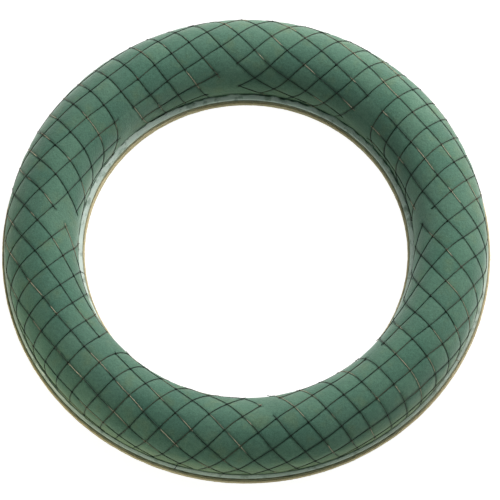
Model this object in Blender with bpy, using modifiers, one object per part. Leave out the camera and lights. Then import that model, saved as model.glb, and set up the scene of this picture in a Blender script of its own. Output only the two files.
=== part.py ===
"""Netted floral-foam wreath ring.

A ring of green wet foam with a D-shaped section sits in a shallow moulded liner
with a raised lip along both edges.  The liner is bonded to a ring of pressed
fibreboard.  One flat square-mesh net is draped over the foam: its outer edge is
tucked between foam and outer lip, its middle is cut in a star so that eight tabs
fold down the inner wall and are tucked between foam and inner lip.

Units are metres, +Z is up.  The origin is the middle of the ring on the face it
rests on.  +X and +Y have no marked feature: the ring is round.
"""
import bisect
import math

import bmesh
import bpy
from mathutils import Matrix, Vector

MM = 0.001

# ---------------------------------------------------------------- driving sizes
OUTER_R = 200.0 * MM            # fibreboard ring, outer radius
HOLE_R = 132.0 * MM             # fibreboard ring, radius of the hole
BOARD_T = 4.6 * MM              # fibreboard thickness
BOARD_EASE = 0.7 * MM           # broken edges of the board
GAP = 0.3 * MM                  # clearance between neighbouring pieces

BOND_T = 1.6 * MM               # adhesive between board and liner
BOND_W = 9.0 * MM               # width of each adhesive ring
BOND_OUT_R = 199.2 * MM         # adhesive squeezed out beyond the liner
BOND_IN_R = 133.0 * MM

LINER_T = 1.2 * MM              # liner floor thickness
LIP_OUT_R = 198.0 * MM          # outer lip, outer face
LIP_OUT_W = 2.0 * MM
LIP_IN_R = 133.9 * MM           # inner lip, face towards the hole
LIP_IN_W = 3.2 * MM
LIP_H = 3.2 * MM                # height of the lips over the liner's underside
LIP_EASE = 0.8 * MM

FOAM_OUT_R = 196.3 * MM         # widest part of the foam
FOAM_IN_R = 137.1 * MM
FOAM_TOP_Z = 54.2 * MM          # crest of the foam over the resting face
WALL_TOP_Z = 23.4 * MM          # straight wall ends and the crown begins
FOOT_OUT_R = 193.0 * MM         # foam foot inside the outer lip
FOOT_IN_R = 140.6 * MM          # foam foot inside the inner lip
FOOT_TOP_Z = 12.0 * MM          # foot swells into the wall from here ...
SWELL_TOP_Z = 19.0 * MM         # ... up to here

FOAM_BOND_T = 0.6 * MM          # adhesive patch between liner floor and foam
FOAM_BOND_W = 34.0 * MM
TUCK_BOND_T = 0.7 * MM          # adhesive in the grooves that grips the net

MESH = 18.08 * MM               # side of one net cell
THREAD_D = 0.8 * MM             # thread diameter
NET_LIFT = 1.70 * MM            # middle of the threads over the foam
NET_DIR = math.radians(40.8)    # lie of the first set of threads on the flat net
FIRST_SHIFT = 0.367             # offset of each set of threads, in cells
SECOND_SHIFT = 0.085
# Where hands have pulled the flat net out of square, for each set of threads:
# (bearing in degrees, spread in degrees, distance in cells).
PULLS = (((133.0, 33.0, 0.39), (312.0, 30.0, -0.21)),
         ((46.0, 27.0, 0.30), (229.0, 30.0, -0.20), (174.0, 17.0, 0.14),
          (94.0, 16.0, -0.09)))
STRETCH_OUT = 1.014             # pull of the net over the outer shoulder
STRETCH_IN = 0.954              # slack of the net on the inner shoulder
TAB_KEEP = 0.95                 # 1 = tabs keep their flat width on the inner wall
SLITS_DEG = (5.0, 49.0, 96.0, 131.0, 176.0, 219.0, 275.0, 317.0)
SLIT_START_R = 156.0 * MM       # slits begin this far out on the flat net
NET_END_Z = 9.8 * MM            # height of the tucked edge in the grooves
TAIL = 3.2 * MM                 # cut thread end left beyond its last knot
SHORT_END = 0.9 * MM            # shorter free ends are left off

RING_STEPS = 60                 # facets around the ring
CROWN_STEPS = 5                 # facets per quarter of the crown
SWELL_STEPS = 3
MOST_SAG = 0.95 * MM            # a thread gets a middle point above this sag

# ---------------------------------------------------------------- derived sizes
BOND_Z = BOARD_T + GAP
LINER_Z = BOND_Z + BOND_T + GAP
FLOOR_Z = LINER_Z + LINER_T
FOAM_BOND_Z = FLOOR_Z + GAP
FOAM_Z = FOAM_BOND_Z + FOAM_BOND_T + GAP
CREST_R = 0.5 * (FOAM_OUT_R + FOAM_IN_R)
CROWN_A = 0.5 * (FOAM_OUT_R - FOAM_IN_R)
CROWN_B = FOAM_TOP_Z - WALL_TOP_Z


def clear_scene():
    for ob in list(bpy.data.objects):
        bpy.data.objects.remove(ob, do_unlink=True)


def collection(name):
    coll = bpy.data.collections.new(name)
    bpy.context.scene.collection.children.link(coll)
    return coll


def material(name, colour, roughness, metallic=0.0):
    mat = bpy.data.materials.new(name)
    mat.use_nodes = True
    shader = mat.node_tree.nodes["Principled BSDF"]
    shader.inputs["Base Color"].default_value = (*colour, 1.0)
    shader.inputs["Roughness"].default_value = roughness
    shader.inputs["Metallic"].default_value = metallic
    mat.diffuse_color = (*colour, 1.0)
    return mat


def turned(name, section, z, coll, mat):
    """Turn a closed (r, z) section about the Z axis.

    The section runs down its outer side and back up its inner side.
    """
    mesh = bpy.data.meshes.new(name)
    count = len(section)
    verts = [(r, 0.0, h) for r, h in section]
    edges = [(i, (i + 1) % count) for i in range(count)]
    mesh.from_pydata(verts, edges, [])
    ob = bpy.data.objects.new(name, mesh)
    coll.objects.link(ob)
    ob.location.z = z
    screw = ob.modifiers.new("Turn", "SCREW")
    screw.axis = "Z"
    screw.angle = 2.0 * math.pi
    screw.steps = RING_STEPS
    screw.render_steps = RING_STEPS
    screw.use_merge_vertices = True
    screw.merge_threshold = 0.00001
    graph = bpy.context.evaluated_depsgraph_get()
    solid = bpy.data.meshes.new_from_object(ob.evaluated_get(graph))
    solid.name = name
    ob.modifiers.clear()
    ob.data = solid
    bpy.data.meshes.remove(mesh)
    solid.shade_smooth()
    solid.set_sharp_from_angle(angle=math.radians(38.0))
    solid.materials.append(mat)
    return ob


def slab(r_in, r_out, height, ease):
    """Flat ring with broken edges."""
    return [
        (r_out - ease, height),
        (r_out, height - ease),
        (r_out, ease),
        (r_out - ease, 0.0),
        (r_in + ease, 0.0),
        (r_in, ease),
        (r_in, height - ease),
        (r_in + ease, height),
    ]


def bead(r_in, r_out, height):
    """Adhesive ring, a little wider at its foot than on top."""
    slope = 0.25 * height
    return [
        (r_out - slope, height),
        (r_out, 0.0),
        (r_in, 0.0),
        (r_in + slope, height),
    ]


def liner_section():
    """Shallow tray: floor with a rounded lip along both edges."""
    out_in = LIP_OUT_R - LIP_OUT_W
    in_out = LIP_IN_R + LIP_IN_W
    ease = 0.4 * LIP_EASE
    return [
        (LIP_OUT_R - LIP_EASE, LIP_H),
        (LIP_OUT_R, LIP_H - LIP_EASE),
        (LIP_OUT_R, 0.0),
        (LIP_IN_R, 0.0),
        (LIP_IN_R, LIP_H - LIP_EASE),
        (LIP_IN_R + LIP_EASE, LIP_H),
        (in_out - ease, LIP_H),
        (in_out, LIP_H - ease),
        (in_out, LINER_T),
        (out_in, LINER_T),
        (out_in, LIP_H - ease),
        (out_in + ease, LIP_H),
    ]


def ease_curve(t):
    return t * t * (3.0 - 2.0 * t)


def half_outline(side, lift, crown_steps, swell_steps, low_z):
    """Foam outline from the crest down one side, moved outwards by lift.

    side is +1 for the outer half and -1 for the inner half.
    """
    foot_r = FOOT_OUT_R if side > 0 else FOOT_IN_R
    wall_r = FOAM_OUT_R if side > 0 else FOAM_IN_R
    points = []
    for i in range(crown_steps + 1):
        t = 0.5 * math.pi * i / crown_steps
        points.append((
            CREST_R + side * (CROWN_A + lift) * math.sin(t),
            WALL_TOP_Z + (CROWN_B + lift) * math.cos(t),
        ))
    for i in range(swell_steps + 1):
        t = 1.0 - i / swell_steps
        points.append((
            foot_r + (wall_r - foot_r) * ease_curve(t) + side * lift,
            FOOT_TOP_Z + (SWELL_TOP_Z - FOOT_TOP_Z) * t,
        ))
    points.append((foot_r + side * lift, low_z))
    return points


def foam_section():
    outer = half_outline(1, 0.0, CROWN_STEPS, SWELL_STEPS, FOAM_Z)
    inner = half_outline(-1, 0.0, CROWN_STEPS, SWELL_STEPS, FOAM_Z)
    whole = outer + list(reversed(inner))[:-1]
    return [(r, z - FOAM_Z) for r, z in whole]


def outline_table(side):
    """Outline points under the net, the same lifted, and arc length on the foam."""
    foam = half_outline(side, 0.0, 60, 30, NET_END_Z)
    low = half_outline(side, NET_LIFT, 60, 30, NET_END_Z)
    high = half_outline(side, NET_LIFT + MM, 60, 30, NET_END_Z)
    length = [0.0]
    for a, b in zip(foam, foam[1:]):
        length.append(length[-1] + math.dist(a, b))
    return length, low, high


OUT_TABLE = outline_table(1)
IN_TABLE = outline_table(-1)
NET_OUT_R = CREST_R + OUT_TABLE[0][-1] / STRETCH_OUT
NET_IN_R = CREST_R - IN_TABLE[0][-1] / STRETCH_IN
SLITS = [math.radians(d) for d in SLITS_DEG]


def at_length(table, s):
    """(r, z) of the net at the arc length s from the crest, and its lift direction."""
    length, low, high = table
    s = min(max(s, 0.0), length[-1])
    i = max(1, min(bisect.bisect_left(length, s), len(length) - 1))
    step = length[i] - length[i - 1]
    t = 0.0 if step < 1e-12 else (s - length[i - 1]) / step
    near = [low[i - 1][k] + (low[i][k] - low[i - 1][k]) * t for k in range(2)]
    far = [high[i - 1][k] + (high[i][k] - high[i - 1][k]) * t for k in range(2)]
    return near, (far[0] - near[0], far[1] - near[1])


def tab_middle(phi):
    """Middle of the net tab that holds phi, and phi counted from its first slit."""
    for i, low in enumerate(SLITS):
        high = SLITS[(i + 1) % len(SLITS)]
        if high < low:
            high += 2.0 * math.pi
        p = phi
        while p < low:
            p += 2.0 * math.pi
        if p <= high:
            return 0.5 * (low + high), p
    return phi, phi


def drape(flat):
    """A point of the flat net -> its place over the foam, and the way out there."""
    rho = flat.length
    phi = math.atan2(flat.y, flat.x) % (2.0 * math.pi)
    if rho >= CREST_R:
        (r, z), (nr, nz) = at_length(OUT_TABLE, (rho - CREST_R) * STRETCH_OUT)
    else:
        (r, z), (nr, nz) = at_length(IN_TABLE, (CREST_R - rho) * STRETCH_IN)
        if rho < SLIT_START_R:
            middle, phi = tab_middle(phi)
            start_r = at_length(IN_TABLE, (CREST_R - SLIT_START_R) * STRETCH_IN)[0][0]
            narrowing = rho / r * start_r / SLIT_START_R
            phi = middle + (phi - middle) * min(1.0, narrowing) ** TAB_KEEP
    out = Vector((math.cos(phi), math.sin(phi), 0.0))
    up = Vector((0.0, 0.0, 1.0))
    return out * r + up * z, (out * nr + up * nz).normalized()


def on_net(flat):
    return NET_IN_R <= flat.length <= NET_OUT_R


def last_on_net(start, end):
    """Point of start-end where the thread reaches the edge of the net."""
    low = 0.0
    high = 1.0
    for _ in range(30):
        mid = 0.5 * (low + high)
        if on_net(start.lerp(end, mid)):
            low = mid
        else:
            high = mid
    return start.lerp(end, low)


def cut_by_slit(p, q):
    """Fraction of p-q at which a slit cuts it, or None."""
    for angle in SLITS:
        way = Vector((math.cos(angle), math.sin(angle), 0.0))
        side_p = p.x * way.y - p.y * way.x
        side_q = q.x * way.y - q.y * way.x
        if side_p * side_q > 0.0:
            continue
        t = side_p / (side_p - side_q)
        if 0.0 < p.lerp(q, t).dot(way) < SLIT_START_R:
            return t
    return None


def pulled(flat):
    """A point of the square flat net -> where it lies once hands have pulled it."""
    angle = math.degrees(math.atan2(flat.y, flat.x))
    across = []
    for family in PULLS:
        move = 0.0
        for middle, spread, size in family:
            away = (angle - middle + 180.0) % 360.0 - 180.0
            move += size * MESH * 0.5 ** ((away / spread) ** 4)
        across.append(move)
    ca = math.cos(NET_DIR)
    sa = math.sin(NET_DIR)
    return flat + Vector((ca * across[1] - sa * across[0],
                          sa * across[1] + ca * across[0], 0.0))


def flat_net():
    """Knots and thread runs of the trimmed and slit net, as points and links."""
    reach = int(NET_OUT_R / MESH) + 2
    turn = Matrix.Rotation(NET_DIR, 3, "Z")
    points = []
    links = []
    knot = {}
    for i in range(-reach, reach + 1):
        for j in range(-reach, reach + 1):
            flat = Vector(((i + SECOND_SHIFT) * MESH, (j + FIRST_SHIFT) * MESH, 0.0))
            knot[i, j] = pulled(turn @ flat)

    index = {}
    for key, flat in knot.items():
        if on_net(flat):
            index[key] = len(points)
            points.append(flat)

    def free_end(start, flat):
        if (flat - points[start]).length > SHORT_END:
            points.append(flat)
            links.append((start, len(points) - 1))

    for i in range(-reach, reach):
        for j in range(-reach, reach):
            for other in ((i + 1, j), (i, j + 1)):
                a = index.get((i, j))
                b = index.get(other)
                p = knot[i, j]
                q = knot[other]
                hit = cut_by_slit(p, q)
                if a is None and b is None:
                    continue
                if a is None or b is None:
                    start, end = (p, q) if b is None else (q, p)
                    edge = last_on_net(start, end)
                    if hit is not None:
                        edge = start + (edge - start).normalized() * min(
                            TAIL, (edge - start).length)
                    free_end(a if b is None else b, edge)
                elif hit is None:
                    links.append((a, b))
                else:
                    free_end(a, p.lerp(q, min(TAIL / MESH, 0.8 * hit)))
                    free_end(b, q.lerp(p, min(TAIL / MESH, 0.8 * (1.0 - hit))))
    return points, links


def joined_part(points, links):
    """The points and links that hang together, without loose cuttings."""
    near = [[] for _ in points]
    for a, b in links:
        near[a].append(b)
        near[b].append(a)
    best = set()
    seen = set()
    for first in range(len(points)):
        if first in seen:
            continue
        group = {first}
        rim = [first]
        while rim:
            for k in near[rim.pop()]:
                if k not in group:
                    group.add(k)
                    rim.append(k)
        seen |= group
        if len(group) > len(best):
            best = group
    order = sorted(best)
    place = {old: new for new, old in enumerate(order)}
    kept = [(place[a], place[b]) for a, b in links if a in best]
    return [points[k] for k in order], kept


def sag(p, q):
    """How far the straight line between two points of the net leaves its true run."""
    start = drape(p)[0]
    end = drape(q)[0]
    return max((drape(p.lerp(q, t))[0] - start.lerp(end, t)).length
               for t in (0.25, 0.5, 0.75))


def with_middles(points, links):
    """Halves the links that would cut through the foam."""
    points = list(points)
    result = []
    todo = list(links)
    while todo:
        a, b = todo.pop()
        span = (points[b] - points[a]).length
        if span > 0.2 * MESH and sag(points[a], points[b]) > MOST_SAG:
            points.append(points[a].lerp(points[b], 0.5))
            todo.append((a, len(points) - 1))
            todo.append((len(points) - 1, b))
        else:
            result.append((a, b))
    return points, result


def thicken(places, links):
    """Four-sided threads along the links, which run into one another at each knot."""
    bm = bmesh.new()
    half = 0.5 * THREAD_D
    near = [[] for _ in places]
    for a, b in links:
        near[a].append(b)
        near[b].append(a)
    crests = []
    roots = []
    corners = []
    for i, (middle, out) in enumerate(places):
        side_x = out.orthogonal().normalized()
        side_y = out.cross(side_x)

        def bearing(k):
            way = places[k][0] - middle
            return math.atan2(way.dot(side_y), way.dot(side_x)) % (2.0 * math.pi)

        near[i].sort(key=bearing)
        angles = [bearing(k) for k in near[i]]
        crests.append(bm.verts.new(middle + out * half))
        roots.append(bm.verts.new(middle - out * half))
        made = []
        count = len(angles)
        for k in range(count):
            span = (angles[(k + 1) % count] - angles[k]) % (2.0 * math.pi)
            if count == 1:
                spread = ((angles[0] + 0.5 * math.pi, half),
                          (angles[0] - 0.5 * math.pi, half))
            else:
                spread = ((angles[k] + 0.5 * span, half / math.sin(0.5 * span)),)
            for angle, far in spread:
                way = side_x * math.cos(angle) + side_y * math.sin(angle)
                made.append(bm.verts.new(middle + way * far))
        corners.append(made)
        if count == 1:
            bm.faces.new((crests[i], made[0], roots[i], made[1]))
    for a, b in links:
        at_a = near[a].index(b)
        at_b = near[b].index(a)
        left_a = corners[a][at_a]
        right_a = corners[a][at_a - 1]
        left_b = corners[b][at_b - 1]
        right_b = corners[b][at_b]
        bm.faces.new((crests[a], crests[b], left_b, left_a))
        bm.faces.new((left_a, left_b, roots[b], roots[a]))
        bm.faces.new((roots[a], roots[b], right_b, right_a))
        bm.faces.new((right_a, right_b, crests[b], crests[a]))
    bmesh.ops.recalc_face_normals(bm, faces=bm.faces)
    return bm


def make_net(coll, mat):
    """Square mesh laid flat, trimmed, slit into tabs and draped over the foam."""
    points, links = joined_part(*flat_net())
    points, links = with_middles(points, links)
    bm = thicken([drape(flat) for flat in points], links)
    mesh = bpy.data.meshes.new("net")
    bm.to_mesh(mesh)
    bm.free()
    mesh.shade_smooth()
    mesh.materials.append(mat)
    ob = bpy.data.objects.new("net", mesh)
    coll.objects.link(ob)
    return ob


def main():
    clear_scene()
    coll = collection("wreath_frame")

    board_mat = material("fibreboard", (0.57, 0.47, 0.28), 0.9)
    bond_mat = material("board_adhesive", (0.10, 0.10, 0.055), 0.6)
    liner_mat = material("liner_plastic", (0.46, 0.60, 0.50), 0.45)
    foam_bond_mat = material("foam_adhesive", (0.42, 0.36, 0.20), 0.5)
    foam_mat = material("wet_foam", (0.10, 0.22, 0.14), 0.95)
    tuck_mat = material("tuck_adhesive", (0.05, 0.09, 0.055), 0.6)
    net_mat = material("net_thread", (0.014, 0.030, 0.020), 0.4)

    turned("base_board", slab(HOLE_R, OUTER_R, BOARD_T, BOARD_EASE), 0.0,
           coll, board_mat)
    turned("board_adhesive_outer", bead(BOND_OUT_R - BOND_W, BOND_OUT_R, BOND_T),
           BOND_Z, coll, bond_mat)
    turned("board_adhesive_inner", bead(BOND_IN_R, BOND_IN_R + BOND_W, BOND_T),
           BOND_Z, coll, bond_mat)
    turned("base_liner", liner_section(), LINER_Z, coll, liner_mat)
    half = 0.5 * FOAM_BOND_W
    turned("foam_adhesive", bead(CREST_R - half, CREST_R + half, FOAM_BOND_T),
           FOAM_BOND_Z, coll, foam_bond_mat)
    turned("foam_ring", foam_section(), FOAM_Z, coll, foam_mat)
    lip_out_in = LIP_OUT_R - LIP_OUT_W
    lip_in_out = LIP_IN_R + LIP_IN_W
    turned("tuck_adhesive_outer",
           bead(FOOT_OUT_R + GAP, lip_out_in - GAP, TUCK_BOND_T),
           FLOOR_Z + GAP, coll, tuck_mat)
    turned("tuck_adhesive_inner",
           bead(lip_in_out + GAP, FOOT_IN_R - GAP, TUCK_BOND_T),
           FLOOR_Z + GAP, coll, tuck_mat)
    make_net(coll, net_mat)


main()
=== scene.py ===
"""Looks of the netted floral-foam wreath ring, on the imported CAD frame."""
import math
import random

import bmesh
import bpy
import numpy as np
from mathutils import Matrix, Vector, noise


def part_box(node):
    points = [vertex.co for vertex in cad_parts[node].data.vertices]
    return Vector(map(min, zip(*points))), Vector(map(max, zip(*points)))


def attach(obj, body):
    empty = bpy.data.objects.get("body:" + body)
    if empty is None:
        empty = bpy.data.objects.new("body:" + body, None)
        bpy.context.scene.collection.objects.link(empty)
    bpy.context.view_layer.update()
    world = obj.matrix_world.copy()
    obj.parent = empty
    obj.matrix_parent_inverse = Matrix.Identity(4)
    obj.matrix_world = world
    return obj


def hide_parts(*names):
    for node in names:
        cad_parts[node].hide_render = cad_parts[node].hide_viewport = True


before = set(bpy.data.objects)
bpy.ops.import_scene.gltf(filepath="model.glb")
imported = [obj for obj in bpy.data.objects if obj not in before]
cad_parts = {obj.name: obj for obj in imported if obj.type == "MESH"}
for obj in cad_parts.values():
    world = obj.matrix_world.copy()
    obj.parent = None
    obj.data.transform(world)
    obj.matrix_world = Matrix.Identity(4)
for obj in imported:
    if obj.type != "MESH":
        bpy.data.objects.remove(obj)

MM = 0.001
FULL_TURN = 2.0 * math.pi
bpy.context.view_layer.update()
random_tool = random.Random(7)

# --------------------------------------------- sizes (m, radii from the axis)
FOAM_LOW, FOAM_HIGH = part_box("foam_ring")
LINER_LOW, LINER_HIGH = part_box("base_liner")
BOND_LOW, BOND_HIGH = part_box("board_adhesive_outer")
BOARD_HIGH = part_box("base_board")[1]
TUCK_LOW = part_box("tuck_adhesive_outer")[0]

# Board: a flat ring with softened edges.
BOARD_R = BOARD_HIGH[0]
BOARD_T = BOARD_HIGH[2]
HOLE_R = 132.0 * MM
BOARD_TOP_EDGE = 0.9 * MM
BOARD_LOW_EDGE = 0.7 * MM

# Glue between the board and the liner, one run at each edge. Glue reaches a
# short way into the pieces that it holds.
BOND_OUT_R = BOND_HIGH[0]
BOND_IN_R = 133.0 * MM
BOND_W = 9.0 * MM
GLUE_LAP = 0.25 * MM

# Liner: a channel with a sloped lip on each side. Each lip has an edge away
# from the foam, a peak, and a face towards the foam.
LINER_Z = LINER_LOW[2]
FLOOR_Z = LINER_Z + 1.2 * MM
LIP_Z = LINER_HIGH[2]
LIP_OUT_R = LINER_HIGH[0]
LIP_OUT_EDGE = (LIP_OUT_R - 0.1 * MM, LIP_Z - 1.2 * MM)
LIP_OUT_PEAK = (LIP_OUT_R - 1.7 * MM, LIP_Z + 0.7 * MM)
LIP_OUT_FACE = (LIP_OUT_R - 2.3 * MM, LIP_Z + 0.3 * MM)
LIP_IN_R = 133.9 * MM
LIP_IN_EDGE = (LIP_IN_R + 0.1 * MM, LIP_Z - 1.0 * MM)
LIP_IN_PEAK = (LIP_IN_R + 3.1 * MM, LIP_Z + 1.3 * MM)
LIP_IN_FACE = (LIP_IN_R + 3.9 * MM, LIP_Z + 0.8 * MM)
LINER_SMALL_EDGE = 0.3 * MM
LIP_SOFT_EDGE = 0.6 * MM
TORN_START_R = LIP_IN_R + 2.4 * MM
TORN_IN_R = 0.9 * MM
TORN_IN_Z = 1.5 * MM
TORN_RISE = 0.30 * MM

# Foam: an elliptical crown on short upright walls, which draw in to the lips.
FOAM_OUT_R = FOAM_HIGH[0]
FOAM_IN_R = 137.1 * MM
FOAM_TOP_Z = FOAM_HIGH[2]
FOAM_Z = FOAM_LOW[2]
WALL_TOP_Z = 23.4 * MM
SWELL_TOP_Z = 19.0 * MM
FOOT_TOP_Z = 12.0 * MM
FOOT_OUT_R = 195.6 * MM
FOOT_IN_R = 137.9 * MM
CREST_R = 0.5 * (FOAM_OUT_R + FOAM_IN_R)
CROWN_HALF_W = 0.5 * (FOAM_OUT_R - FOAM_IN_R)
CROWN_H = FOAM_TOP_Z - WALL_TOP_Z

# Foam surface: pillows between the threads and creases under them, and no
# relief low down, where the foam stands between the lips.
FOAM_AROUND = 1260
FOAM_GRID = 1.0 * MM
PILLOW_RISE = 0.60 * MM
PILLOW_MIDDLE = 0.55
PILLOW_FULLNESS = 2.2
LOOSE_PILLOW = 0.85
CREASE_DEPTH = 0.36 * MM
CREASE_HALF_W = 0.80 * MM
# Half width of the pressed-in mark and of the painted contact shade under each thread.
PRESS_AND_SHADE_HALF_W = 0.75 * MM
SLOW_SWELL = 0.35 * MM
QUICK_SWELL = 0.07 * MM
SMOOTH_BELOW_Z = 12.5 * MM
SMOOTH_FADE = 5.0 * MM

# Net: a flat square mesh, slit towards the centre and draped. The two shifts
# are in meshes, and the two stretches are across the outer and inner halves.
# TAB_KEEP is 1 where a tab keeps its flat width, and 0 where it spreads until
# it meets its neighbours.
MESH = 18.08 * MM
NET_DIR = math.radians(40.8)
NET_WAY = np.array([math.cos(NET_DIR), math.sin(NET_DIR)])
FIRST_SHIFT = 0.367
SECOND_SHIFT = 0.085
STRETCH_OUT = 1.014
STRETCH_IN = 0.954
SLITS = np.radians((5.0, 49.0, 96.0, 131.0, 176.0, 219.0, 275.0, 317.0))
SLIT_START_R = 156.0 * MM
TAB_KEEP = 0.95
NET_END_Z = 11.1 * MM
# Meshes made each way from the middle, and the places along a line of the net
# where its thread has a point, in meshes.
REACH = 15
STEPS_PER_MESH = 13
PLACES = np.arange(-REACH, REACH, 1.0 / STEPS_PER_MESH)
# Cut threads: the length left on a knot, and at most what share of the way to
# the slit. NOT_CUT, in meshes, stands for a run with no gap in it, and
# NO_THREAD, in metres, for the distance where the net has no thread.
CUT_TAIL = (1.6 * MM, 5.2 * MM)
CUT_TAIL_SHARE = 0.8
NOT_CUT = 9.0
NO_THREAD = 1.0
# Where the net was pulled across its threads by hand: (middle and half spread
# in degrees, pull in meshes), for the first and for the second family.
PULLS = (((133.0, 33.0, 0.39), (312.0, 30.0, -0.21)),
         ((46.0, 27.0, 0.30), (229.0, 30.0, -0.20), (174.0, 17.0, 0.14),
          (94.0, 16.0, -0.09)))
SLOW_WAVE = 0.5 * MM
QUICK_WAVE = 0.3 * MM

# Threads: height of the middle of each over the foam, and how they end.
THREAD_R = 0.30 * MM
THREAD_SIDES = 8
THREAD_TWIST = 6.5 * MM
THREAD_LIFT = 0.02 * MM
FAMILY_LIFT = (-0.02 * MM, 0.08 * MM)
KNOT_LIFT = 0.12 * MM
KNOT_LIFT_REACH = 2.0 * MM
KNOT_Z = 0.16 * MM
KNOT_SIZE = (0.98 * MM, 0.80 * MM, 0.58 * MM)
KNOT_END_GAP = 0.4 * MM
CUT_END_RISE = (0.1 * MM, 1.3 * MM)
SHORTEST_RUN = 4

# A few threads hang over a lip: (r, z) of their way down, and what share of
# the ends near a lip does so.
OVER_LIP_FROM_Z = 14.2 * MM
OVER_LIP_NEAR = 2.5 * MM
OVER_LIP_DRIFT = 0.012
OVER_LIP_OUT = ((195.9 * MM, LIP_Z + 1.3 * MM), (196.9 * MM, LIP_Z + 0.6 * MM),
                (197.9 * MM, LIP_Z - 0.6 * MM), (198.3 * MM, LINER_Z + 1.4 * MM),
                (198.4 * MM, LINER_Z + 0.3 * MM))
OVER_LIP_IN = ((137.2 * MM, LIP_Z + 2.0 * MM), (135.7 * MM, LIP_Z + 0.8 * MM),
               (133.9 * MM, LIP_Z - 0.7 * MM), (133.6 * MM, LINER_Z + 1.4 * MM),
               (133.5 * MM, LINER_Z + 0.3 * MM))
OVER_LIP_OUT_SHARE = 0.10
OVER_LIP_IN_SHARE = 0.04

# Glue in the grooves, which holds the edge of the net.
TUCK_TOP_Z = LIP_Z + 0.35 * MM
TUCK_IN_FOAM = 0.6 * MM
TUCK_IN_LIP = 0.1 * MM

# Camera: how many board radii away, its tilt from straight down, and the share
# of the picture's width that one board radius would fill straight on.
CAMERA_FAR = 18.118
CAMERA_TILT = 0.38508
RADIUS_SHARE = 0.4881
SENSOR_W = 36.0
CAMERA_SHIFT = (0.0077, 0.0062)

# Stage: a sheet that only the camera sees, over a table that only light meets.
STAGE_SIZE = 9.0
SHEET_Z = -0.3 * MM
TABLE_Z = -0.6 * MM
SHEET_GLOW = 0.97
TABLE_GLOW = 0.33


# ------------------------------------------------------------------ materials
class Look:
    """A node material with a Principled shader and short cuts for its nodes."""

    def __init__(self, name, roughness, specular=0.5):
        self.mat = bpy.data.materials.new(name)
        self.mat.use_nodes = True
        self.nodes = self.mat.node_tree.nodes
        self.links = self.mat.node_tree.links
        self.shader = self.nodes["Principled BSDF"]
        self.shader.inputs["Roughness"].default_value = roughness
        self.shader.inputs["Specular IOR Level"].default_value = specular
        self.coord = self.nodes.new("ShaderNodeTexCoord").outputs["Object"]

    def link(self, a, b):
        self.links.new(a, b)

    def scaled(self, scale):
        """Object coordinates stretched by a factor on each axis."""
        node = self.nodes.new("ShaderNodeMapping")
        node.inputs["Scale"].default_value = scale
        self.link(self.coord, node.inputs["Vector"])
        return node.outputs["Vector"]

    def noise(self, scale, detail=2.0, rough=0.5, vector=None):
        node = self.nodes.new("ShaderNodeTexNoise")
        node.inputs["Scale"].default_value = scale
        node.inputs["Detail"].default_value = detail
        node.inputs["Roughness"].default_value = rough
        self.link(vector or self.coord, node.inputs["Vector"])
        return node.outputs["Fac"]

    def cells(self, scale, vector=None):
        node = self.nodes.new("ShaderNodeTexVoronoi")
        node.inputs["Scale"].default_value = scale
        self.link(vector or self.coord, node.inputs["Vector"])
        return node.outputs["Distance"]

    def ramp(self, value, stops):
        node = self.nodes.new("ShaderNodeValToRGB")
        ramp = node.color_ramp
        while len(ramp.elements) < len(stops):
            ramp.elements.new(0.5)
        for element, (place, colour) in zip(ramp.elements, stops):
            element.position = place
            element.color = (*colour, 1.0)
        self.link(value, node.inputs["Fac"])
        return node.outputs["Color"]

    def mix(self, factor, a, b, kind="MIX"):
        node = self.nodes.new("ShaderNodeMix")
        node.data_type = "RGBA"
        node.blend_type = kind
        for place, value in ((0, factor), (6, a), (7, b)):
            socket = node.inputs[place]
            if isinstance(value, (int, float)):
                socket.default_value = value
            elif isinstance(value, tuple):
                socket.default_value = (*value, 1.0)
            else:
                self.link(value, socket)
        return node.outputs[2]

    def math(self, kind, a, b=0.0):
        node = self.nodes.new("ShaderNodeMath")
        node.operation = kind
        for socket, value in zip(node.inputs, (a, b)):
            if isinstance(value, (int, float)):
                socket.default_value = value
            else:
                self.link(value, socket)
        return node.outputs[0]

    def rescale(self, value, a, b, to_a=0.0, to_b=1.0):
        """Maps a..b to to_a..to_b and stops at both ends."""
        node = self.nodes.new("ShaderNodeMapRange")
        for k, number in enumerate((a, b, to_a, to_b)):
            node.inputs[k + 1].default_value = number
        self.link(value, node.inputs[0])
        return node.outputs[0]

    def axis(self, index):
        """Object X, Y or Z, in metres."""
        node = self.nodes.new("ShaderNodeSeparateXYZ")
        self.link(self.coord, node.inputs[0])
        return node.outputs[index]

    def attribute(self, name):
        node = self.nodes.new("ShaderNodeAttribute")
        node.attribute_name = name
        return node.outputs["Fac"]

    def colour(self, value):
        self.link(value, self.shader.inputs["Base Color"])

    def rough(self, value):
        self.link(value, self.shader.inputs["Roughness"])

    def bump(self, height, strength, distance):
        """Adds a layer of bump on top of any that is there."""
        node = self.nodes.new("ShaderNodeBump")
        node.inputs["Strength"].default_value = strength
        node.inputs["Distance"].default_value = distance
        self.link(height, node.inputs["Height"])
        last = self.shader.inputs["Normal"]
        if last.is_linked:
            self.link(last.links[0].from_socket, node.inputs["Normal"])
        self.link(node.outputs["Normal"], last)


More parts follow.
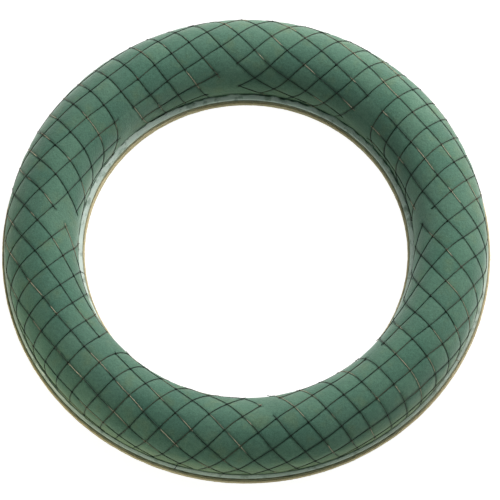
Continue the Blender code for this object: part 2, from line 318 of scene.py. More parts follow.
def foam_look():
    """Damp green foam with dry patches and open cells, painted contact shade with pressed-in
    marks under the threads, and painted bounce light in olive low on the wall.
    """
    look = Look("wet_foam_look", 0.85, 0.12)
    base = look.ramp(look.noise(24.0, 3.0), ((0.30, (0.090, 0.208, 0.148)),
                                             (0.72, (0.119, 0.240, 0.173))))
    dry = look.rescale(look.noise(58.0, 3.0, 0.6), 0.52, 0.70, 0.0, 0.42)
    base = look.mix(dry, base, (0.150, 0.232, 0.128))
    # Painted bounce light: olive low on the wall, where light from the floor falls,
    # strongest on the outside.
    low = look.math("MULTIPLY", look.attribute("outside"),
                    look.rescale(look.axis(2), 0.034, 0.014, 0.0, 0.66))
    base = look.mix(low, base, (0.225, 0.310, 0.125))
    grain = look.ramp(look.noise(1500.0, 2.0, 0.6), ((0.34, (0.78, 0.80, 0.78)),
                                                     (0.62, (1.05, 1.05, 1.04))))
    base = look.mix(1.0, base, grain, "MULTIPLY")
    speck = look.ramp(look.noise(430.0, 3.0, 0.7), ((0.32, (0.86, 0.87, 0.86)),
                                                    (0.68, (1.10, 1.09, 1.08))))
    base = look.mix(1.0, base, speck, "MULTIPLY")
    cell = look.ramp(look.attribute("cell_tone"), ((0.0, (0.85, 0.88, 0.88)),
                                                   (1.0, (1.12, 1.07, 1.05))))
    base = look.mix(1.0, base, cell, "MULTIPLY")
    # Painted contact shade under the threads darkens the foam along them, together with the
    # real mark where each thread presses in.
    press_and_shade_mix = look.math("MULTIPLY", look.attribute("press_and_shade"), 0.42)
    look.colour(look.mix(press_and_shade_mix, base, (0.030, 0.075, 0.048)))
    look.shader.inputs["Sheen Weight"].default_value = 0.46
    look.shader.inputs["Sheen Tint"].default_value = (0.84, 1.0, 0.92, 1.0)
    look.shader.inputs["Sheen Roughness"].default_value = 0.5
    look.bump(look.cells(620.0), 0.30, 0.6 * MM)
    look.bump(look.noise(160.0, 4.0, 0.6), 0.20, 0.8 * MM)
    return look.mat


def thread_look(name, pale):
    """Near-black green thread with paler stretches in places: pale fibre, and painted
    highlight along the glossy thread.
    """
    look = Look(name, 0.42, 0.30)
    # Paler stretches: pale fibre, with painted highlight where light glints along the
    # thread.
    look.colour(look.ramp(look.noise(38.0, 2.0), ((0.44, (0.004, 0.018, 0.010)),
                                                  (0.53, (0.014, 0.028, 0.016)),
                                                  (0.59, pale))))
    fibre = look.noise(1900.0, 2.0)
    look.rough(look.rescale(fibre, 0.3, 0.7, 0.34, 0.55))
    look.bump(fibre, 0.4, 0.2 * MM)
    return look.mat


def liner_look():
    """Grey-green satin plastic, scuffed and stained, paler on the inner lip."""
    look = Look("liner_look", 0.42, 0.5)
    tone = look.noise(60.0, 4.0, 0.6)
    base = look.ramp(tone, ((0.35, (0.490, 0.600, 0.520)), (0.70, (0.590, 0.700, 0.620))))
    scuff = look.rescale(look.noise(420.0, 3.0, 0.65), 0.60, 0.74)
    base = look.mix(scuff, base, (0.68, 0.77, 0.69))
    radius = look.math("SQRT", look.math("ADD", look.math("POWER", look.axis(0), 2.0),
                                         look.math("POWER", look.axis(1), 2.0)))
    inner = look.rescale(radius, 0.150, 0.146, 0.0, 0.35)
    base = look.mix(inner, base, (0.80, 0.90, 0.84))
    stain = look.rescale(look.noise(130.0, 4.0, 0.6), 0.54, 0.66, 0.0, 0.75)
    look.colour(look.mix(stain, base, (0.230, 0.320, 0.250)))
    look.rough(look.rescale(tone, 0.3, 0.7, 0.34, 0.52))
    look.bump(look.noise(500.0, 3.0), 0.18, 0.4 * MM)
    return look.mat


def board_look():
    """Tan fibreboard: chips, pale fibres, layers on its edge, a screen pattern."""
    look = Look("fibreboard_look", 0.88, 0.25)
    tone = look.noise(34.0, 5.0, 0.62)
    base = look.ramp(tone, ((0.30, (0.700, 0.580, 0.340)), (0.72, (0.830, 0.720, 0.460))))
    chips = look.noise(820.0, 3.0, 0.7)
    base = look.mix(look.rescale(chips, 0.56, 0.70), base, (0.480, 0.370, 0.200))
    pale = look.rescale(look.noise(560.0, 2.0, 0.6), 0.60, 0.72)
    base = look.mix(pale, base, (0.82, 0.75, 0.54))
    layers = look.noise(1.0, 2.0, 0.6, look.scaled((26.0, 26.0, 1500.0)))
    dark_layers = look.rescale(layers, 0.44, 0.62, 0.0, 0.40)
    look.colour(look.mix(dark_layers, base, (0.430, 0.335, 0.180)))
    look.bump(chips, 0.5, 0.5 * MM)
    look.bump(layers, 0.35, 0.4 * MM)
    screen_waves = 4200.0
    screen = look.math("MULTIPLY",
                       look.math("SINE", look.math("MULTIPLY", look.axis(0), screen_waves)),
                       look.math("SINE", look.math("MULTIPLY", look.axis(1), screen_waves)))
    look.bump(screen, 0.12, 0.3 * MM)
    return look.mat


def glue_look(name, dark, light, roughness):
    """Dried glue between two tones, with uneven gloss."""
    look = Look(name, roughness, 0.5)
    tone = look.noise(240.0, 3.0)
    look.colour(look.ramp(tone, ((0.32, dark), (0.70, light))))
    look.rough(look.rescale(tone, 0.3, 0.7, roughness - 0.12, roughness + 0.15))
    look.bump(look.noise(700.0, 2.0), 0.4, 0.5 * MM)
    return look.mat


# ------------------------------------------------------------- foam's outline
def length_of(points):
    """Distance along a polyline from its first point to each point."""
    steps = np.linalg.norm(np.diff(points, axis=0), axis=1)
    return np.concatenate([[0.0], np.cumsum(steps)])


def ease_curve(t):
    """Smooth step from 0 to 1, level at both ends."""
    return t * t * (3.0 - 2.0 * t)


def half_outline(side, low_z):
    """(r, z) from the crest down one side of the foam, as a fine polyline."""
    crown_steps = 90
    wall_steps = 6
    foot_steps = 40
    foot_r = FOOT_OUT_R if side > 0 else FOOT_IN_R
    wall_r = FOAM_OUT_R if side > 0 else FOAM_IN_R
    points = []
    for i in range(crown_steps + 1):
        t = 0.5 * math.pi * i / crown_steps
        points.append((CREST_R + side * CROWN_HALF_W * math.sin(t),
                       WALL_TOP_Z + CROWN_H * math.cos(t)))
    for i in range(1, wall_steps + 1):
        points.append((wall_r, WALL_TOP_Z + (SWELL_TOP_Z - WALL_TOP_Z) * i / wall_steps))
    for i in range(1, foot_steps + 1):
        t = 1.0 - i / foot_steps
        points.append((foot_r + (wall_r - foot_r) * ease_curve(t),
                       FOOT_TOP_Z + (SWELL_TOP_Z - FOOT_TOP_Z) * t))
    points.append((foot_r, low_z))
    return np.array(points)


# The whole outline by arc length s from the crest, negative on the inside.
OUT_HALF = half_outline(1, FOAM_Z)
IN_HALF = half_outline(-1, FOAM_Z)
OUT_S = length_of(OUT_HALF)
IN_S = length_of(IN_HALF)
S_ALL = np.concatenate([-IN_S[::-1], OUT_S[1:]])
R_ALL = np.concatenate([IN_HALF[::-1, 0], OUT_HALF[1:, 0]])
Z_ALL = np.concatenate([IN_HALF[::-1, 1], OUT_HALF[1:, 1]])
NR_ALL = -np.gradient(Z_ALL, S_ALL)
NZ_ALL = np.gradient(R_ALL, S_ALL)
S_OUT_END = OUT_S[-1] - (NET_END_Z - FOAM_Z)
S_IN_END = -(IN_S[-1] - (NET_END_Z - FOAM_Z))
# Foam radius over flat radius where the slits start.
START_FACTOR = np.interp((SLIT_START_R - CREST_R) * STRETCH_IN, S_ALL, R_ALL) / SLIT_START_R


def normal_at(s):
    """Outward (r, z) of the foam's surface at an arc length."""
    nr = np.interp(s, S_ALL, NR_ALL)
    nz = np.interp(s, S_ALL, NZ_ALL)
    size = np.hypot(nr, nz)
    return nr / size, nz / size


def on_surface(s, phi, lift):
    """Arc length, angle and height over the foam -> point."""
    nr, nz = normal_at(s)
    r = np.interp(s, S_ALL, R_ALL) + lift * nr
    z = np.interp(s, S_ALL, Z_ALL) + lift * nz
    return np.stack([r * np.cos(phi), r * np.sin(phi), z], -1)


def way_out(s, phi):
    """Outward direction of the foam's surface in space."""
    nr, nz = normal_at(s)
    return np.stack([nr * np.cos(phi), nr * np.sin(phi), nz], -1)


# ------------------------------------------------------- net's flat and draped
def tabs(phi):
    """Middle and half width of the net tab at each angle, and the angle in it."""
    low = SLITS
    high = np.roll(SLITS, -1)
    high = np.where(high < low, high + FULL_TURN, high)
    p = (phi - low[0]) % FULL_TURN + low[0]
    index = np.clip(np.searchsorted(low, p, side="right") - 1, 0, len(low) - 1)
    return 0.5 * (low + high)[index], 0.5 * (high - low)[index], p


def narrowing(rho, r):
    """Share of its flat angle that a tab takes up; flat radius rho lies at foam radius r."""
    factor = np.where(rho < SLIT_START_R, rho / r * START_FACTOR, 1.0)
    return np.minimum(factor, 1.0) ** TAB_KEEP


def drape(u, v):
    """Flat net point -> (s, phi) on the foam."""
    rho = np.hypot(u, v)
    phi = np.arctan2(v, u) % FULL_TURN
    s = (rho - CREST_R) * np.where(rho > CREST_R, STRETCH_OUT, STRETCH_IN)
    middle, _, p = tabs(phi)
    shrink = narrowing(rho, np.interp(s, S_ALL, R_ALL))
    return s, middle + (p - middle) * shrink


def undrape(s, phi):
    """(s, phi) on the foam -> flat net point, and whether the net covers it."""
    rho = CREST_R + s / np.where(s > 0.0, STRETCH_OUT, STRETCH_IN)
    middle, half, p = tabs(phi)
    shrink = narrowing(rho, np.interp(s, S_ALL, R_ALL))
    flat = (p - middle) / shrink
    covered = np.abs(flat) <= half
    return rho * np.cos(middle + flat), rho * np.sin(middle + flat), covered


def wander(u, v):
    """Shifts of the hand-laid net: the pulls, and small waves."""
    angle = np.degrees(np.arctan2(v, u))
    across = [0.0, 0.0]
    for family, pulls in enumerate(PULLS):
        for middle, spread, size in pulls:
            far = (angle - middle + 180.0) % 360.0 - 180.0
            fade = np.exp(-math.log(2.0) * (far / spread) ** 4)
            across[family] = across[family] + size * MESH * fade
    du = NET_WAY[0] * across[1] - NET_WAY[1] * across[0]
    dv = NET_WAY[1] * across[1] + NET_WAY[0] * across[0]
    du = du + SLOW_WAVE * np.sin(61.0 * u + 1.3) * np.cos(47.0 * v + 0.4)
    du = du + QUICK_WAVE * np.sin(133.0 * v - 97.0 * u)
    dv = dv + SLOW_WAVE * np.cos(53.0 * u - 0.8) * np.sin(67.0 * v + 2.1)
    dv = dv + QUICK_WAVE * np.cos(121.0 * u + 101.0 * v)
    return du, dv


def unwander(u, v):
    """Ideal flat net point that the shifts bring to (u, v)."""
    a, b = u, v
    for _ in range(6):
        du, dv = wander(a, b)
        a, b = u - du, v - dv
    return a, b


def to_cells(u, v):
    """Flat point -> net coordinates, where the knots sit on whole numbers."""
    ca, sa = NET_WAY
    return ((ca * u + sa * v) / MESH - SECOND_SHIFT,
            (-sa * u + ca * v) / MESH - FIRST_SHIFT)


def from_cells(gx, gy):
    """Net coordinates -> flat point."""
    ca, sa = NET_WAY
    a = (gx + SECOND_SHIFT) * MESH
    b = (gy + FIRST_SHIFT) * MESH
    return ca * a - sa * b, sa * a + ca * b


def laid(gx, gy):
    """Net coordinates -> flat point, with the shifts of the hand-laid net."""
    u, v = from_cells(gx, gy)
    du, dv = wander(u, v)
    return np.array([u + du, v + dv])


def cut_stretch(a, b, slit):
    """Part (from, to) of the thread from a to b that a slit takes, or None."""
    way = np.array([math.cos(slit), math.sin(slit)])
    side_a = a[0] * way[1] - a[1] * way[0]
    side_b = b[0] * way[1] - b[1] * way[0]
    if side_a * side_b > 0.0:
        return None
    t = side_a / (side_a - side_b)
    if not 0.0 < (a + (b - a) * t) @ way < SLIT_START_R:
        return None
    tail_a = random_tool.uniform(*CUT_TAIL) / MESH
    tail_b = random_tool.uniform(*CUT_TAIL) / MESH
    return min(tail_a, CUT_TAIL_SHARE * t), 1.0 - min(tail_b, CUT_TAIL_SHARE * (1.0 - t))


def cut_table():
    """Missing stretch of every thread run between two knots, by family."""
    size = 2 * REACH + 1
    gone = np.full((2, size, size, 2), NOT_CUT)
    for first in (0, 1):
        for i in range(size):
            for j in range(size):
                a = laid(i - REACH, j - REACH)
                b = laid(i - REACH + (first == 0), j - REACH + (first == 1))
                for slit in SLITS:
                    stretch = cut_stretch(a, b, slit)
                    if stretch:
                        gone[first, i, j] = stretch
    return gone


GONE = cut_table()


def is_cut(family, along, line):
    """Whether the thread of a family is missing at a place along a line."""
    cell = np.clip(np.floor(along).astype(int) + REACH, 0, 2 * REACH)
    row = np.clip(np.round(line).astype(int) + REACH, 0, 2 * REACH)
    where = (cell, row) if family == 0 else (row, cell)
    gap = GONE[family][where]
    t = along - np.floor(along)
    return (t > gap[..., 0]) & (t < gap[..., 1])


# ------------------------------------------------------------- mesh and record
def mesh_object(name, verts, faces, mat):
    """New smooth-shaded object in the scene."""
    mesh = bpy.data.meshes.new(name)
    mesh.from_pydata([tuple(v) for v in verts], [], [tuple(f) for f in faces])
    mesh.validate()
    mesh.shade_smooth()
    mesh.materials.append(mat)
    ob = bpy.data.objects.new(name, mesh)
    bpy.context.scene.collection.objects.link(ob)
    return ob


def belongs(piece):
    """Every piece rides on the one body."""
    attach(piece, "root")


def torus_faces(rows, cols):
    """Quads of a grid that closes on itself both ways, rows first."""
    i, j = np.meshgrid(np.arange(rows), np.arange(cols), indexing="ij")
    i2 = (i + 1) % rows
    j2 = (j + 1) % cols
    quads = np.stack([i * cols + j, i2 * cols + j, i2 * cols + j2, i * cols + j2], -1)
    return quads.reshape(-1, 4)


def smooth_noise(points, scale, seed):
    """Perlin noise at each point, about -1 to 1."""
    offset = Vector((seed * 3.7, seed * 1.9, seed * 5.3))
    return np.array([noise.noise(Vector(p) * scale + offset) for p in points])


# ----------------------------------------------------------------------- foam
def thread_distance(gx, gy, covered):
    """Distance to the nearest thread, or NO_THREAD where the net isn't."""
    both = []
    for family, along, line in ((0, gx, gy), (1, gy, gx)):
        distance = np.abs(line - np.round(line)) * MESH
        both.append(np.where(covered & ~is_cut(family, along, line), distance, NO_THREAD))
    return np.minimum(*both)


def foam_lift(s, phi, far):
    """Height of the foam's skin over its plain outline."""
    crease = np.exp(-(far / CREASE_HALF_W) ** 2)
    pillow = np.clip(far / (0.5 * MESH), 0.0, 1.0)
    pillow = 1.0 - (1.0 - pillow) ** PILLOW_FULLNESS
    pillow = np.where(far > 0.5 * NO_THREAD, LOOSE_PILLOW, pillow)
    # Pillows are fullest low on the outside and flattest low on the inside.
    fullness = np.interp(s, (-0.05, -0.02, 0.0, 0.02, 0.05), (0.5, 0.8, 0.65, 0.9, 1.0))
    plain = on_surface(s, phi, 0.0).reshape(-1, 3)
    slow = smooth_noise(plain, 17.0, 1).reshape(s.shape)
    quick = smooth_noise(plain, 120.0, 2).reshape(s.shape)
    fade = np.clip((np.interp(s, S_ALL, Z_ALL) - SMOOTH_BELOW_Z) / SMOOTH_FADE, 0.0, 1.0)
    return (PILLOW_RISE * (pillow - PILLOW_MIDDLE) * fullness - CREASE_DEPTH * crease
            + SLOW_SWELL * slow + QUICK_SWELL * quick) * fade


def cell_tones(gx, gy):
    """A random tone for each cell of the net, at each place."""
    size = 2 * REACH + 1
    tones = np.random.RandomState(3).uniform(0.0, 1.0, (size, size))
    return tones[np.clip(np.floor(gx).astype(int) + REACH, 0, size - 1),
                 np.clip(np.floor(gy).astype(int) + REACH, 0, size - 1)]


def make_foam(mat):
    """Foam ring pillowed between the threads and creased under them."""
    count = int((S_ALL[-1] - S_ALL[0]) / FOAM_GRID)
    s = np.linspace(S_ALL[0], S_ALL[-1], count + 1)
    phi = np.arange(FOAM_AROUND) * FULL_TURN / FOAM_AROUND
    phi_grid, s_grid = np.meshgrid(phi, s, indexing="ij")
    u, v, covered = undrape(s_grid, phi_grid)
    gx, gy = to_cells(*unwander(u, v))
    far = thread_distance(gx, gy, covered)
    points = on_surface(s_grid, phi_grid, foam_lift(s_grid, phi_grid, far))

    # Two more points per section close it along the flat underside.
    under = [points[:, -1] * (1.0 - t) + points[:, 0] * t for t in (0.33, 0.66)]
    points = np.concatenate([points] + [ring[:, None, :] for ring in under], axis=1)
    rows, cols = points.shape[:2]
    foam = mesh_object("foam", points.reshape(-1, 3), torus_faces(rows, cols)[:, ::-1], mat)
    # Where the threads press in, and where painted contact shade under them darkens the
    # foam.
    press_and_shade = np.exp(-(far / PRESS_AND_SHADE_HALF_W) ** 2)
    # Share of the painted bounce light low on the wall: full on the outside, less inside the
    # hole.
    outside = np.where(s_grid > 0.0, 1.0, 0.35)
    for word, values in (("press_and_shade", press_and_shade), ("cell_tone", cell_tones(gx, gy)),
                         ("outside", outside)):
        values = np.concatenate([values, np.zeros((rows, 2))], axis=1)
        attribute = foam.data.attributes.new(word, "FLOAT", "POINT")
        attribute.data.foreach_set("value", values.reshape(-1).astype(np.float32))
    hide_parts("foam_ring")
    belongs(foam)


# ------------------------------------------------------------------------ net
def tubes(name, runs, mat):
    """Twisted two-filament threads along runs of (points, outward ways)."""
    verts = []
    faces = []
    turn = np.arange(THREAD_SIDES) * FULL_TURN / THREAD_SIDES
    for points, outs in runs:
        step = np.gradient(points, axis=0)
        step /= np.linalg.norm(step, axis=1)[:, None]
        side = np.cross(step, outs)
        side /= np.linalg.norm(side, axis=1)[:, None]
        up = np.cross(side, step)
        run = length_of(points)
        # Two lobes that turn along the thread, a slight ripple and pinched ends.
        twist = run * FULL_TURN / THREAD_TWIST
        lobes = THREAD_R * (0.90 + 0.16 * np.cos(2.0 * (turn[None] - twist[:, None])))
        lobes *= (1.0 + 0.07 * np.sin(run * 820.0))[:, None]
        lobes[[0, -1]] *= 0.7
        ring = (points[:, None] + up[:, None] * (lobes * np.cos(turn))[..., None]
                + side[:, None] * (lobes * np.sin(turn))[..., None])
        base = len(verts)
        verts.extend(ring.reshape(-1, 3))
        for i in range(len(points) - 1):
            a = base + i * THREAD_SIDES
            b = a + THREAD_SIDES
            for k in range(THREAD_SIDES):
                m = (k + 1) % THREAD_SIDES
                faces.append((a + k, b + k, b + m, a + m))
        top = base + (len(points) - 1) * THREAD_SIDES
        faces.append(tuple(base + k for k in range(THREAD_SIDES)))
        faces.append(tuple(top + k for k in reversed(range(THREAD_SIDES))))
    return mesh_object(name, verts, faces, mat)


def over_lip(points, outs, path):
    """Ends a thread over a lip instead of down in the groove."""
    keep = len(points)
    while keep > SHORTEST_RUN and points[keep - 1][2] < OVER_LIP_FROM_Z:
        keep -= 1
    last = points[keep - 1]
    phi = math.atan2(last[1], last[0])
    drift = random_tool.uniform(-OVER_LIP_DRIFT, OVER_LIP_DRIFT)
    rough = [last]
    for k, (r, z) in enumerate(path):
        p = phi + drift * (k + 1) / len(path)
        rough.append((r * math.cos(p), r * math.sin(p), z))
    rough = np.array(rough)
    far = length_of(rough)
    t = np.linspace(0.0, far[-1], 12)[1:]
    extra = np.stack([np.interp(t, far, rough[:, k]) for k in range(3)], -1)
    points = np.concatenate([points[:keep], extra])
    for _ in range(3):
        points[keep - 2:-1] = 0.5 * points[keep - 2:-1] + 0.25 * (
            points[keep - 3:-2] + points[keep - 1:])
    outs = np.concatenate([outs[:keep], np.repeat(outs[keep - 1:keep], len(extra), axis=0)])
    return points, outs


def hang_ends(points, outs, end_lengths):
    """Hangs a few of the ends that reach a lip over it, the first end first."""
    for end_s in end_lengths:
        # Turned round each time, so that the end in question is the last point.
        points = points[::-1]
        outs = outs[::-1]
        if end_s > S_OUT_END - OVER_LIP_NEAR and random_tool.random() < OVER_LIP_OUT_SHARE:
            points, outs = over_lip(points, outs, OVER_LIP_OUT)
        elif end_s < S_IN_END + OVER_LIP_NEAR and random_tool.random() < OVER_LIP_IN_SHARE:
            points, outs = over_lip(points, outs, OVER_LIP_IN)
    return points, outs


def thread_lifts(family, line, part):
    """Height over the foam: up at the knots, and sprung up at cut ends."""
    near_knot = np.abs(PLACES[part] - np.round(PLACES[part])) * MESH
    lift = THREAD_LIFT + KNOT_LIFT * np.exp(-(near_knot / KNOT_LIFT_REACH) ** 2)
    lift = lift + FAMILY_LIFT[family]
    for edge, inward in ((0, 1), (-1, -1)):
        beyond = part[edge] - inward
        if not is_cut(family, PLACES[beyond:beyond + 1], np.array([line]))[0]:
            continue
        rise = random_tool.uniform(*CUT_END_RISE)
        for k in range(3):
            lift[k if edge == 0 else -1 - k] += rise * ((3 - k) / 3.0) ** 2
    return lift


def family_runs(family):
    """Thread runs of one family: (points, outward ways) on the foam."""
    runs = []
    for line in range(-REACH, REACH + 1):
        row = np.full_like(PLACES, line)
        s, phi = drape(*(laid(row, PLACES) if family == 1 else laid(PLACES, row)))
        keep = (s < S_OUT_END) & (s > S_IN_END) & ~is_cut(family, PLACES, row)
        index = np.where(keep)[0]
        for part in np.split(index, np.where(np.diff(index) > 1)[0] + 1):
            if len(part) < SHORTEST_RUN:
                continue
            points = on_surface(s[part], phi[part], thread_lifts(family, line, part))
            outs = way_out(s[part], phi[part])
            runs.append(hang_ends(points, outs, (s[part[0]], s[part[-1]])))
    return runs


def knot_shape():
    """A ball with a slanting groove, as (points, faces)."""
    ball = bmesh.new()
    bmesh.ops.create_icosphere(ball, subdivisions=2, radius=1.0)
    shape = np.array([v.co[:] for v in ball.verts])
    faces = np.array([[v.index for v in f.verts] for f in ball.faces])
    ball.free()
    groove = 1.0 - 0.13 * np.exp(-((shape[:, 0] - shape[:, 1]) / 0.22) ** 2)
    return shape * groove[:, None], faces


def make_knots(mat):
    """Small flattened knots where the two families of threads are tied."""
    shape, faces = knot_shape()
    all_verts = []
    all_faces = []
    for i in range(-REACH, REACH + 1):
        for j in range(-REACH, REACH + 1):
            s, phi = drape(*laid(np.array([float(i)]), np.array([float(j)])))
            if not S_IN_END + KNOT_END_GAP < s[0] < S_OUT_END - KNOT_END_GAP:
                continue
            middle = on_surface(s, phi, KNOT_Z)[0]
            out = way_out(s, phi)[0]
            # Any way along the surface will do, since the knots lean at random.
            aside = np.array(from_cells(float(i), float(j))) + NET_WAY * MM
            way = on_surface(*drape(aside[:1], aside[1:]), KNOT_Z)[0] - middle
            way -= out * (way @ out)
            way /= np.linalg.norm(way)
            axes = np.stack([way, np.cross(out, way), out]) * np.array(KNOT_SIZE)[:, None]
            axes *= random_tool.uniform(0.88, 1.15)
            lean = random_tool.uniform(0.5, 1.1)
            c, d = math.cos(lean), math.sin(lean)
            body = shape.copy()
            body[:, :2] = body[:, :2] @ np.array([[c, d], [-d, c]])
            all_faces.extend(faces + len(all_verts))
            all_verts.extend(middle + body @ axes)
    return mesh_object("net_knots", all_verts, all_faces, mat)


def make_net():
    """Two families of threads, the second one with bright pale stretches of painted
    highlight and pale fibre, and their knots.
    """
    thread_mat = thread_look("net_thread_look", (0.060, 0.058, 0.034))
    # The second family's bright pale stretches are painted highlight as well as pale fibre.
    pale_and_highlit_mat = thread_look("net_pale_and_highlit_thread_look", (0.420, 0.370, 0.260))
    first = tubes("net_threads_first", family_runs(0), thread_mat)
    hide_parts("net")
    second = tubes("net_threads_second", family_runs(1), pale_and_highlit_mat)
    for piece in (first, second, make_knots(thread_mat)):
        belongs(piece)


# ----------------------------------------------------------------------- base
def turned(name, section, mat, around, uneven):
    """Lathe of a closed (r, z) section; uneven(angle, r, z) returns its shift."""
    section = np.array(section)
    phi = np.arange(around)[:, None] * FULL_TURN / around
    r = np.repeat(section[None, :, 0], around, axis=0)
    z = np.repeat(section[None, :, 1], around, axis=0)
    dr, dz = uneven(phi, r, z)
    r = r + dr
    z = z + dz
    points = np.stack([r * np.cos(phi), r * np.sin(phi), z], -1)
    area = np.sum(section[:, 0] * np.roll(section[:, 1], -1)
                  - np.roll(section[:, 0], -1) * section[:, 1])
    faces = torus_faces(around, len(section))
    if area < 0.0:
        faces = faces[:, ::-1]
    return mesh_object(name, points.reshape(-1, 3), faces, mat)


def rounded(corners, steps):
    """Closed section with rounded corners; corners are (r, z, radius)."""
    points = []
    for k, (r, z, radius) in enumerate(corners):
        here = np.array((r, z))
        back = np.array(corners[k - 1][:2]) - here
        ahead = np.array(corners[(k + 1) % len(corners)][:2]) - here
        a = here + back / np.linalg.norm(back) * radius
        b = here + ahead / np.linalg.norm(ahead) * radius
        for i in range(steps + 1):
            t = i / steps
            points.append((1 - t) ** 2 * a + 2 * t * (1 - t) * here + t * t * b)
    return points


def wave(phi, parts):
    """Sum of waves round the ring, in metres: (how many, height in mm, phase)."""
    return MM * sum(size * np.sin(n * phi + shift) for n, size, shift in parts)


def fibre_edge(phi, r, z):
    """Slightly torn, fibrous edges of the board."""
    band = 1.5 * MM
    points = np.stack([r * np.cos(phi), r * np.sin(phi), z], -1).reshape(-1, 3)
    fine = smooth_noise(points, 620.0, 5).reshape(r.shape)
    rough = smooth_noise(points, 130.0, 6).reshape(r.shape)
    rim = np.where((r > BOARD_R - band) | (r < HOLE_R + band), 1.0, 0.15)
    side = np.where(r > 0.5 * (BOARD_R + HOLE_R), 1.0, -1.0)
    upper = np.where(z > 0.5 * BOARD_T, 1.0, 0.0)
    return (side * rim * (0.16 * fine + 0.18 * rough - 0.18) * MM,
            upper * rim * 0.10 * MM * rough)


def lip_wave(phi, r, z):
    """Moulded lips that are never quite even, the inner one torn."""
    high = np.clip((z - FLOOR_Z) / (LIP_Z - FLOOR_Z), 0.0, 1.0)
    out = wave(phi, ((9, 0.10, 0.3), (23, 0.07, 1.1), (61, 0.05, 2.0), (97, 0.03, 0.7)))
    ins = wave(phi, ((7, 0.16, 2.0), (19, 0.12, 0.6), (43, 0.10, 1.7), (83, 0.05, 0.2)))
    level = np.full(r.shape, LIP_Z)
    points = np.stack([r * np.cos(phi), r * np.sin(phi), level], -1).reshape(-1, 3)
    torn = smooth_noise(points, 190.0, 8).reshape(r.shape)
    rim = np.where((r > TORN_START_R) & (r < CREST_R), high, 0.0)
    return (np.where(r < CREST_R, ins, out) * high + rim * TORN_IN_R * torn,
            wave(phi, ((11, 0.06, 0.9), (37, 0.05, 0.1))) * high
            + rim * (TORN_RISE + TORN_IN_Z * torn))


def squeezed(phi, r, z):
    """Glue that was pressed out unevenly at the edges of the board."""
    band = 1.2 * MM
    edge = (np.abs(r - (BOARD_R - 0.8 * MM)) < band) | (
        np.abs(r - (HOLE_R + 1.0 * MM)) < band)
    side = np.where(r > CREST_R, 1.0, -1.0)
    ooze = wave(phi, ((13, 0.12, 0.5), (41, 0.12, 1.9), (89, 0.10, 0.3), (173, 0.07, 1.0)))
    return np.where(edge, side * (ooze - 0.22 * MM), 0.0), np.zeros_like(z)


def lumpy(phi, r, z):
    """Uneven glue in the grooves that hold the net."""
    top = z > TUCK_LOW[2] + 0.3 * MM
    lump = wave(phi, ((17, 0.16, 0.2), (53, 0.20, 1.3), (113, 0.16, 2.2), (211, 0.10, 0.4)))
    return np.zeros_like(r), np.where(top, lump, 0.0)


def make_board():
    section = rounded([(BOARD_R, BOARD_T, BOARD_TOP_EDGE), (BOARD_R, 0.0, BOARD_LOW_EDGE),
                       (HOLE_R, 0.0, BOARD_LOW_EDGE), (HOLE_R, BOARD_T, BOARD_TOP_EDGE)], 6)
    board = turned("fibreboard", section, board_look(), 1440, fibre_edge)
    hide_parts("base_board")
    belongs(board)


def make_liner():
    section = rounded([
        (LIP_OUT_R, LINER_Z, LINER_SMALL_EDGE), (LIP_IN_R, LINER_Z, LINER_SMALL_EDGE),
        (*LIP_IN_EDGE, LIP_SOFT_EDGE), (*LIP_IN_PEAK, LINER_SMALL_EDGE),
        (*LIP_IN_FACE, LINER_SMALL_EDGE), (LIP_IN_FACE[0], FLOOR_Z, LINER_SMALL_EDGE),
        (LIP_OUT_FACE[0], FLOOR_Z, LINER_SMALL_EDGE), (*LIP_OUT_FACE, LINER_SMALL_EDGE),
        (*LIP_OUT_PEAK, LINER_SMALL_EDGE), (*LIP_OUT_EDGE, LIP_SOFT_EDGE)], 4)
    liner = turned("liner", section, liner_look(), 1080, lip_wave)
    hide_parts("base_liner")
    belongs(liner)


def make_board_glue():
    """The dark line between the board and the liner at both edges."""
    mat = glue_look("board_glue_look", (0.180, 0.180, 0.095), (0.340, 0.325, 0.185), 0.55)
    low = BOND_LOW[2] - GLUE_LAP
    top = BOND_HIGH[2] + GLUE_LAP
    for name, node, edge, far in (
            ("board_glue_outer", "board_adhesive_outer", BOND_OUT_R, BOND_OUT_R - BOND_W),
            ("board_glue_inner", "board_adhesive_inner", BOND_IN_R, BOND_IN_R + BOND_W)):
        section = rounded([(edge, top, 0.35 * MM), (edge, low, 0.35 * MM),
                           (far, low, 0.3 * MM), (far, top, 0.3 * MM)], 4)
        glue = turned(name, section, mat, 1440, squeezed)
        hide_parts(node)
        belongs(glue)


def make_tuck_glue():
    """Glue in the groove between the foam and each lip."""
    mat = glue_look("tuck_glue_look", (0.060, 0.100, 0.066), (0.300, 0.400, 0.320), 0.60)
    low = TUCK_LOW[2] - GLUE_LAP
    for name, node, inner, outer in (
            ("tuck_glue_outer", "tuck_adhesive_outer",
             FOOT_OUT_R - TUCK_IN_FOAM, LIP_OUT_FACE[0] + TUCK_IN_LIP),
            ("tuck_glue_inner", "tuck_adhesive_inner",
             LIP_IN_FACE[0] - TUCK_IN_LIP, FOOT_IN_R + TUCK_IN_FOAM)):
        section = rounded([(outer, TUCK_TOP_Z, 0.25 * MM), (outer, low, 0.2 * MM),
                           (inner, low, 0.2 * MM), (inner, TUCK_TOP_Z, 0.25 * MM)], 4)
        glue = turned(name, section, mat, 1080, lumpy)
        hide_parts(node)
        belongs(glue)


def paint_foam_glue():
    """The bed of glue under the foam stays as its CAD node."""
    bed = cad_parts["foam_adhesive"]
    bed.data.materials.clear()
    bed.data.materials.append(
        glue_look("foam_glue_look", (0.30, 0.24, 0.12), (0.44, 0.38, 0.22), 0.5))


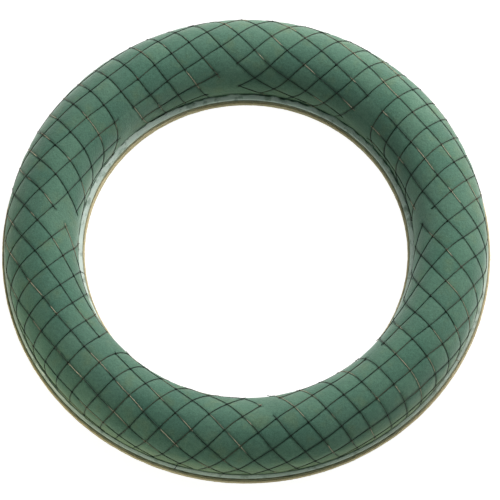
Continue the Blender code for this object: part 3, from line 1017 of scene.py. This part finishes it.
# ------------------------------------------------------------ stage and light
def plane(name, z, look):
    """Level square of the stage."""
    half = 0.5 * STAGE_SIZE
    mesh = bpy.data.meshes.new(name)
    mesh.from_pydata([(-half, -half, z), (half, -half, z), (half, half, z),
                      (-half, half, z)], [], [(0, 1, 2, 3)])
    mesh.materials.append(look.mat)
    ob = bpy.data.objects.new(name, mesh)
    bpy.context.scene.collection.objects.link(ob)
    return ob


def glowing_look(name, scale, tones, glow, strength):
    """Matt surface with a faint mottle that also gives light of its own."""
    look = Look(name, 0.9, 0.0)
    look.colour(look.ramp(look.noise(scale, 2.0), ((0.2, tones[0]), (0.8, tones[1]))))
    look.shader.inputs["Emission Color"].default_value = (*glow, 1.0)
    look.shader.inputs["Emission Strength"].default_value = strength
    return look


def stage():
    """White sheet for the camera only, and a table that lights the ring from below."""
    sheet = plane("floor", SHEET_Z, glowing_look(
        "sheet_look", 1.3, ((0.20, 0.20, 0.20), (0.24, 0.24, 0.24)),
        (1.0, 1.0, 0.99), SHEET_GLOW))
    sheet.visible_diffuse = False
    sheet.visible_glossy = False
    sheet.visible_shadow = False

    table = plane("table", TABLE_Z, glowing_look(
        "table_look", 1.1, ((0.70, 0.72, 0.64), (0.75, 0.77, 0.69)),
        (0.96, 1.0, 0.95), TABLE_GLOW))
    table.visible_camera = False


def area_light(azimuth, elevation, far, size, watts, colour=(1.0, 1.0, 1.0)):
    """Soft round light that faces the middle of the ring; degrees, metres, watts."""
    data = bpy.data.lights.new("soft_light", "AREA")
    data.shape = "DISK"
    data.size = size
    data.energy = watts
    data.color = colour
    ob = bpy.data.objects.new("soft_light", data)
    a = math.radians(azimuth)
    e = math.radians(elevation)
    place = Vector((math.cos(a) * math.cos(e), math.sin(a) * math.cos(e), math.sin(e)))
    ob.location = place * far
    ob.rotation_euler = (-place).to_track_quat("-Z", "Y").to_euler()
    bpy.context.scene.collection.objects.link(ob)


def lights():
    """Broad light from the back right, and small weak lamps close to the front."""
    world = bpy.data.worlds.new("studio")
    world.use_nodes = True
    world.node_tree.nodes["Background"].inputs[0].default_value = (0.85, 0.95, 1.0, 1.0)
    world.node_tree.nodes["Background"].inputs[1].default_value = 0.01
    bpy.context.scene.world = world

    far, broad = 1.7, 1.0
    area_light(35.0, 12.0, far, broad, 5.2, (1.0, 0.80, 0.82))
    area_light(65.0, 12.0, far, broad, 7.2, (1.0, 0.76, 0.80))
    area_light(90.0, 12.0, far, broad, 8.6, (1.0, 0.87, 0.86))
    area_light(45.0, 44.0, far, broad, 18.0)
    area_light(70.0, 68.0, far, broad, 10.5, (0.95, 1.0, 1.0))

    near, small = 0.50, 0.07
    area_light(206.0, 4.0, near, small, 0.32, (1.0, 0.98, 0.74))
    area_light(320.0, 4.0, near, small, 0.05, (0.80, 1.0, 0.85))
    area_light(262.0, 4.0, near, small, 0.12, (1.0, 1.0, 0.84))
    area_light(240.0, 40.0, 0.60, 0.35, 0.12, (0.60, 0.94, 1.0))


def camera():
    """Long lens, looking down at the ring from the front."""
    data = bpy.data.cameras.new("camera")
    data.sensor_width = SENSOR_W
    data.lens = RADIUS_SHARE * CAMERA_FAR * SENSOR_W
    data.clip_end = 50.0
    data.shift_x, data.shift_y = CAMERA_SHIFT
    far = CAMERA_FAR * BOARD_R
    ob = bpy.data.objects.new("camera", data)
    ob.location = (0.0, -far * math.sin(CAMERA_TILT), far * math.cos(CAMERA_TILT))
    ob.rotation_euler = (CAMERA_TILT, 0.0, 0.0)
    bpy.context.scene.collection.objects.link(ob)
    bpy.context.scene.camera = ob


def main():
    bpy.context.scene.view_settings.view_transform = "Standard"
    camera()
    lights()
    stage()
    make_board()
    make_liner()
    make_board_glue()
    make_tuck_glue()
    paint_foam_glue()
    make_foam(foam_look())
    make_net()


main()
